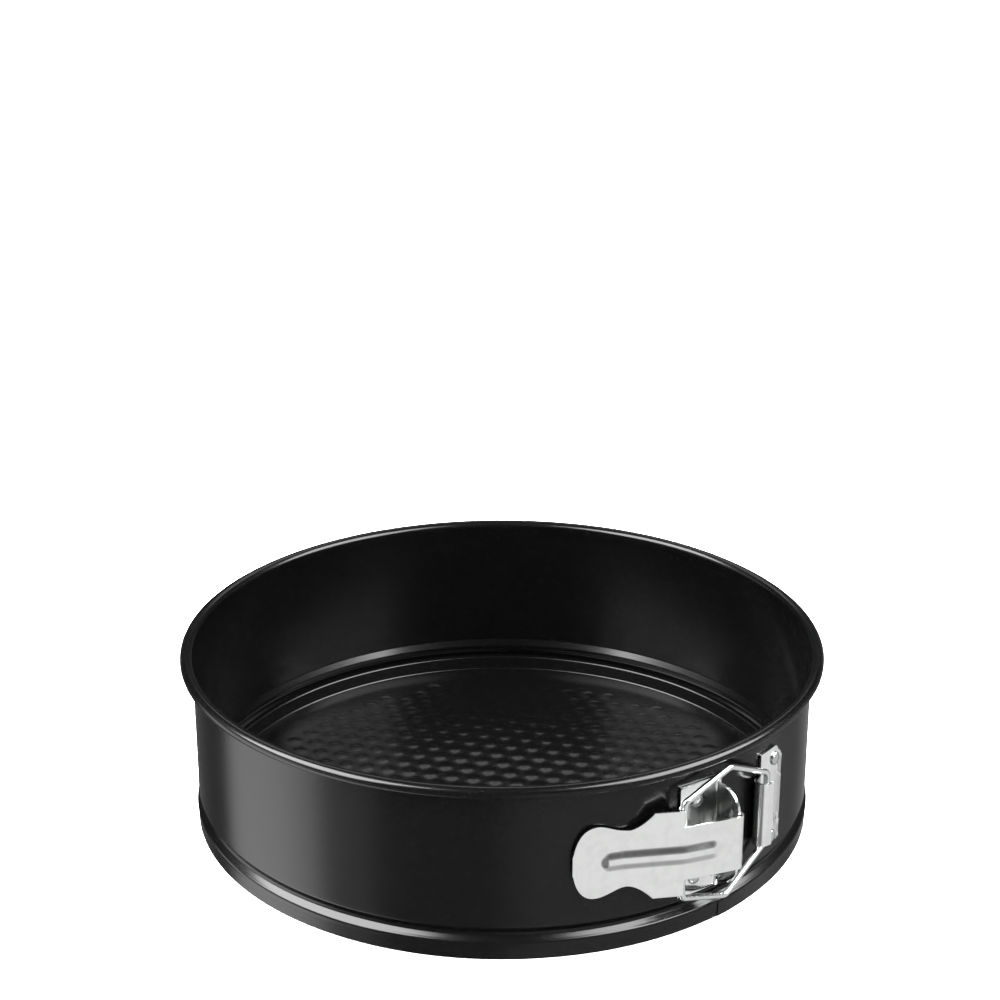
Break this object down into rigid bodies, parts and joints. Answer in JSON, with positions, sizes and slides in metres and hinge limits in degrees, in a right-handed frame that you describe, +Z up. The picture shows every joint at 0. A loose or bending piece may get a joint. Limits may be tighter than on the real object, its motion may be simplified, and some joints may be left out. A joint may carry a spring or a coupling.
{
  "type": "springform pan",
  "caption": "Round springform cake pan with a loose tray base and a rolled-rim band closed by an over-centre lever latch with a wire bail.",
  "frame": {"origin": "on the pan's axis at the underside of the base, where it stands", "axes": "+Z up through the open mouth, -Y outward at the band's seam, +X from the lever towards the keeper"},
  "size_m": [0.25, 0.2583, 0.0694],
  "materials": {
    "band_coating": "semi-gloss black non-stick coating on steel sheet",
    "tray_coating": "semi-gloss black non-stick coating on steel sheet",
    "bright_plate": "bright plated steel sheet",
    "bright_wire": "bright plated steel wire",
    "rivet_steel": "plain bright steel"
  },
  "bodies": {
    "base": {"base_plate": "tray_coating"},
    "band": {"band_left": "band_coating", "latch_bracket": "bright_plate", "bracket_rivet_top": "rivet_steel", "bracket_rivet_bottom": "rivet_steel"},
    "band_far": {"band_right": "band_coating", "keeper": "bright_plate", "keeper_rivet_top": "rivet_steel", "keeper_rivet_bottom": "rivet_steel"},
    "lever": {"lever": "bright_plate"},
    "bail": {"bail": "bright_wire"}
  },
  "joints": [
    {"name": "band_lift", "type": "slide", "parent": "base", "child": "band", "axis": [0, 0, 1], "range_m": [0, 0.09]},
    {"name": "band_spread", "type": "hinge", "parent": "band", "child": "band_far", "pos_m": [0, 0.1201, 0.0369], "axis": [0, 0, 1], "range_deg": [0, 0.6]},
    {"name": "lever_swing", "type": "hinge", "parent": "band", "child": "lever", "pos_m": [-0.0025, -0.1308, 0.0369], "axis": [0, 0, 1], "range_deg": [0, 90]},
    {"name": "bail_swing", "type": "hinge", "parent": "lever", "child": "bail", "pos_m": [-0.022, -0.1241, 0.0369], "axis": [0, 0, 1], "range_deg": [-54, 0]}
  ],
  "couplings": [
    {"joint": "bail_swing", "follows": "lever_swing", "ratio": -0.59},
    {"joint": "band_spread", "follows": "lever_swing", "ratio": 0.006}
  ]
}
